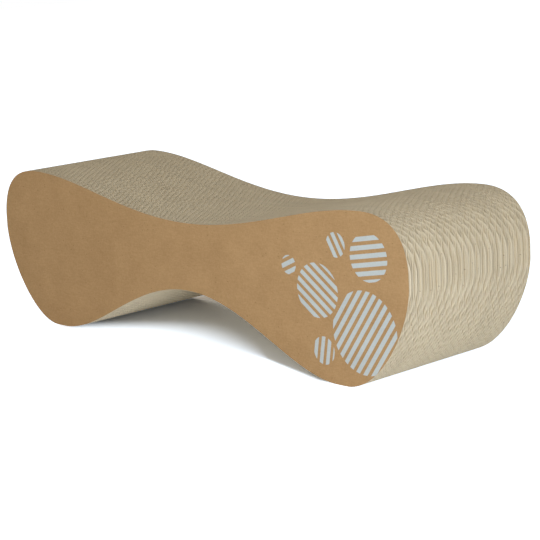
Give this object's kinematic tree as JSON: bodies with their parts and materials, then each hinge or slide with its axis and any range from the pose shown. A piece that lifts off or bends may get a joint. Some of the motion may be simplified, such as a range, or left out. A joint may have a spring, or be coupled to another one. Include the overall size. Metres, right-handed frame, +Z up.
{
  "type": "cardboard cat scratcher",
  "caption": "Bone-shaped cat scratcher of upright corrugated boards glued face to face, with a dipped top, rounded ends, two feet and an arch under the waist.",
  "frame": {"origin": "on the floor, under the middle of the length and of the width", "axes": "+X along the length, +Y from the near face board to the far face board, +Z up"},
  "size_m": [0.7, 0.206, 0.1975],
  "materials": {
    "face_board": "matte kraft paper with a pale stripe print on the near face",
    "inner_board": "matte cut edges of corrugated board, flutes open at the top and the underside"
  },
  "bodies": {
    "root": {"near_face_board": "face_board", "board_02": "inner_board", "board_03": "inner_board", "board_04": "inner_board", "board_05": "inner_board", "board_06": "inner_board", "board_07": "inner_board", "board_08": "inner_board", "board_09": "inner_board", "board_10": "inner_board", "board_11": "inner_board", "board_12": "inner_board", "board_13": "inner_board", "board_14": "inner_board", "board_15": "inner_board", "board_16": "inner_board", "board_17": "inner_board", "board_18": "inner_board", "board_19": "inner_board", "far_face_board": "face_board"}
  },
  "joints": []
}
